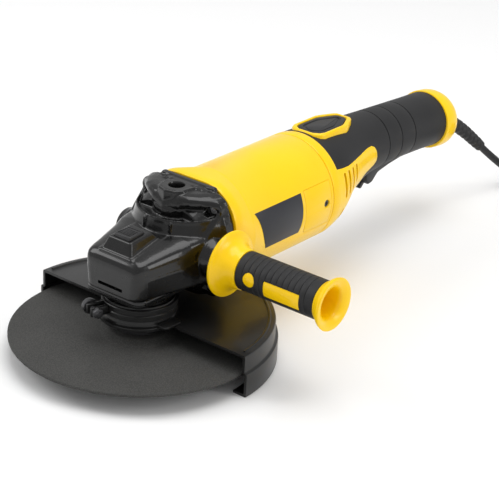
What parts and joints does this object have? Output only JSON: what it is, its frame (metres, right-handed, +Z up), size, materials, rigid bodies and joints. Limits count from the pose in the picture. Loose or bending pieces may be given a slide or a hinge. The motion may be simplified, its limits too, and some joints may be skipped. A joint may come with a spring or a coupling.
{
  "type": "angle grinder",
  "caption": "Large two-handed angle grinder with a cutting wheel, adjustable guard, side handle, swivelling rear handle with trigger, and a mains cord with plug.",
  "frame": {"origin": "on the spindle axis, in the outer face of the clamp nut, which is level with the wheel's lower face", "axes": "+Z up the spindle into the gear head, +Y along the motor axis to the rear handle, +X towards the fitted side handle"},
  "size_m": [0.3417, 0.8024, 0.1475],
  "materials": {
    "black_paint": "glossy black paint on a die casting",
    "guard_paint": "semi-gloss black powder coat on pressed steel",
    "yellow_plastic": "semi-gloss yellow glass-filled nylon",
    "black_plastic": "fine-textured black nylon",
    "soft_grip": "soft black thermoplastic rubber",
    "badge": "plain black label plate",
    "abrasive": "dark grey resin-bonded abrasive",
    "dark_steel": "blackened steel",
    "ground_steel": "ground steel",
    "zinc_steel": "zinc-plated steel",
    "spring_steel": "spring wire",
    "brass": "rolled brass",
    "carbon": "pressed carbon",
    "laminations": "stacked steel laminations",
    "copper": "enamelled copper",
    "capacitor_case": "dipped capacitor",
    "cord_rubber": "matte black rubber"
  },
  "bodies": {
    "root": {"gear_case": "black_paint", "gear_case_screws": "zinc_steel", "bearing_cover": "black_paint", "bearing_cover_screws": "zinc_steel", "spindle_lower_bearing": "ground_steel", "spindle_upper_bearing": "ground_steel", "spindle_lock_spring": "spring_steel", "motor_housing": "yellow_plastic", "side_plates": "badge", "brush_covers": "yellow_plastic", "brush_cover_screws": "zinc_steel", "brush_holders": "brass", "carbon_brushes": "carbon", "brush_springs": "spring_steel", "stator_core": "laminations", "stator_coils": "copper", "air_baffle": "black_plastic", "armature_front_bearing": "ground_steel", "armature_rear_bearing": "ground_steel", "swivel_ring": "black_plastic", "swivel_ring_screws": "zinc_steel", "side_handle_core": "yellow_plastic", "side_handle_grip": "soft_grip", "side_handle_stud": "zinc_steel", "strain_relief": "cord_rubber", "cord_inner_end": "cord_rubber", "cord": "cord_rubber", "cord_coil": "cord_rubber", "cord_tie": "black_plastic", "cord_tail": "cord_rubber", "plug": "cord_rubber"},
    "spindle": {"spindle": "ground_steel", "crown_gear": "ground_steel", "inner_flange": "dark_steel", "grinding_wheel": "abrasive", "clamp_nut": "dark_steel"},
    "armature": {"armature_shaft": "ground_steel", "pinion": "ground_steel", "armature_core": "laminations", "armature_windings": "copper", "commutator": "copper", "cooling_fan": "black_plastic"},
    "guard": {"wheel_guard": "guard_paint", "guard_clamp_band": "guard_paint", "guard_clamp_bolt": "dark_steel"},
    "spindle_lock": {"spindle_lock_button": "black_plastic", "spindle_lock_pin": "ground_steel"},
    "rear_handle": {"handle_shell_left": "yellow_plastic", "handle_shell_right": "yellow_plastic", "handle_screws": "zinc_steel", "handle_cover": "soft_grip", "tail_cap": "yellow_plastic", "release_frame": "yellow_plastic", "release_spring": "spring_steel", "switch": "black_plastic", "capacitor": "capacitor_case", "cord_clamp": "black_plastic"},
    "release_button": {"release_button": "black_plastic"},
    "trigger": {"trigger": "black_plastic"},
    "lock_off_lever": {"lock_off_lever": "black_plastic"}
  },
  "joints": [
    {"name": "spindle_spin", "type": "hinge", "parent": "root", "child": "spindle", "pos_m": [0, 0, 0], "axis": [0, 0, 1], "continuous": true},
    {"name": "armature_spin", "type": "hinge", "parent": "root", "child": "armature", "pos_m": [0, 0.1, 0.0767], "axis": [0, 1, 0], "continuous": true},
    {"name": "guard_turn", "type": "hinge", "parent": "root", "child": "guard", "pos_m": [0, 0, 0.02], "axis": [0, 0, 1], "range_deg": [-90, 90]},
    {"name": "spindle_lock_press", "type": "slide", "parent": "root", "child": "spindle_lock", "axis": [0, 0, -1], "range_m": [0, 0.004], "stiffness_N_per_m": 1200, "springref_m": -0.004, "deforming": ["spindle_lock_spring"]},
    {"name": "rear_handle_turn", "type": "hinge", "parent": "root", "child": "rear_handle", "pos_m": [0, 0.22, 0.0767], "axis": [0, 1, 0], "range_deg": [-90, 90]},
    {"name": "release_press", "type": "slide", "parent": "rear_handle", "child": "release_button", "axis": [0, 0, -1], "range_m": [0, 0.003], "stiffness_N_per_m": 1200, "springref_m": -0.003, "deforming": ["release_spring"]},
    {"name": "trigger_squeeze", "type": "hinge", "parent": "rear_handle", "child": "trigger", "pos_m": [0, 0.384, 0.066], "axis": [-1, 0, 0], "range_deg": [0, 8], "stiffness_Nm_per_rad": 1.5, "springref_deg": -11.46},
    {"name": "lock_off_turn", "type": "hinge", "parent": "trigger", "child": "lock_off_lever", "pos_m": [0, 0.336, 0.057], "axis": [1, 0, 0], "range_deg": [0, 22], "stiffness_Nm_per_rad": 0.02, "springref_deg": -17.19}
  ],
  "couplings": [
    {"joint": "armature_spin", "follows": "spindle_spin", "ratio": 3.7273}
  ]
}
